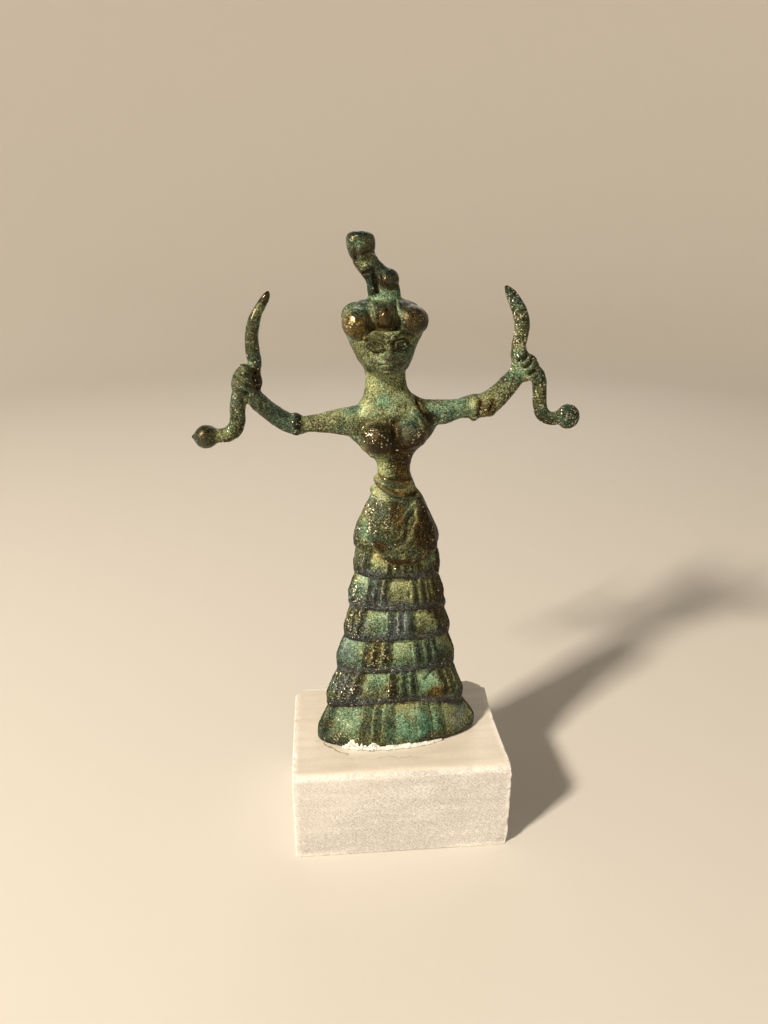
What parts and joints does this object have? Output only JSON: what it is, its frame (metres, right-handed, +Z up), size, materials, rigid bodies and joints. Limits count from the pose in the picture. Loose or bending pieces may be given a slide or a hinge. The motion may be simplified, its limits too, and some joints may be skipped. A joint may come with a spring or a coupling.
{
  "type": "snake goddess figurine",
  "caption": "Small patinated bronze figurine of a woman in a flounced skirt who raises snakes in her fists and wears a cap with a seated cat, glued on a sawn white marble block.",
  "frame": {"origin": "centre of the marble block's underside", "axes": "+Z up out of the block; the figure faces -Y, turned 4.5 degrees on the block; +X is towards the figure's left hand"},
  "size_m": [0.0805, 0.0344, 0.1366],
  "materials": {
    "patinated_bronze": "cast bronze with a dark green patina, paler green in the hollows, a sandy surface and bare brassy specks on the high points",
    "white_marble": "sawn and rubbed white marble with worn edges",
    "white_adhesive": "dried white glue, cracked and chipped"
  },
  "bodies": {
    "root": {"goddess_figurine": "patinated_bronze", "marble_block": "white_marble", "adhesive_seam": "white_adhesive"}
  },
  "joints": []
}
